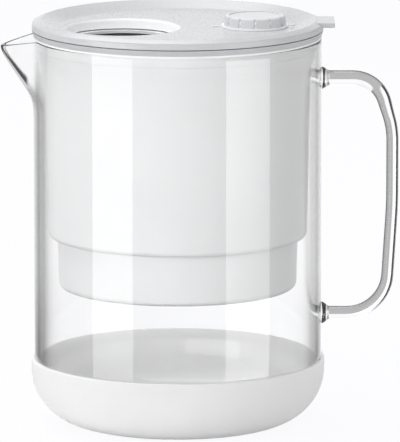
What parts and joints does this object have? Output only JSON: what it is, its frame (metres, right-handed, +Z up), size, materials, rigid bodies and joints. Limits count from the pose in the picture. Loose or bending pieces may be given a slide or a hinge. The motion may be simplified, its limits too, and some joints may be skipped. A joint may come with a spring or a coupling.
{
  "type": "water filter pitcher",
  "caption": "Clear glass jug with a side handle and spout, a silicone base, a drop-in hopper with a filter cartridge, and a lid with a fill funnel and a reminder dial.",
  "frame": {"origin": "where the jug's upright axis meets the surface it stands on", "axes": "+Z up along the jug's axis, +X towards the handle, -X towards the spout"},
  "size_m": [0.2075, 0.1536, 0.2149],
  "materials": {
    "clear_glass": "polished",
    "white_silicone": "satin",
    "hopper_plastic": "gloss",
    "lid_plastic": "satin",
    "dial_plastic": "satin",
    "cartridge_plastic": "gloss",
    "seal_silicone": "satin",
    "filter_mesh": "woven",
    "carbon": "granular",
    "resin": "granular",
    "felt": "felted"
  },
  "bodies": {
    "jug": {"glass_jug": "clear_glass", "glass_handle": "clear_glass", "base_sleeve": "white_silicone"},
    "hopper": {"hopper": "hopper_plastic", "hopper_seal": "seal_silicone"},
    "lid": {"lid_top": "lid_plastic", "lid_base": "lid_plastic", "lid_seal": "seal_silicone", "dial_seal": "seal_silicone"},
    "dial": {"reminder_dial": "dial_plastic", "dial_clip": "dial_plastic"},
    "cartridge": {"cartridge_shell": "cartridge_plastic", "cartridge_cap": "cartridge_plastic", "cartridge_seal": "seal_silicone", "cartridge_top_mesh": "filter_mesh", "cartridge_bottom_mesh": "filter_mesh", "carbon_bed": "carbon", "resin_bed": "resin", "bed_separator": "felt"}
  },
  "joints": [
    {"name": "hopper_lift", "type": "slide", "parent": "jug", "child": "hopper", "axis": [0, 0, 1], "range_m": [0, 0.15]},
    {"name": "lid_lift", "type": "slide", "parent": "hopper", "child": "lid", "axis": [0, 0, 1], "range_m": [0, 0.05]},
    {"name": "dial_turn", "type": "hinge", "parent": "lid", "child": "dial", "pos_m": [0.0402, 0, 0.21], "axis": [0, 0, 1], "continuous": true},
    {"name": "cartridge_lift", "type": "slide", "parent": "hopper", "child": "cartridge", "axis": [0, 0, 1], "range_m": [0, 0.028]}
  ]
}
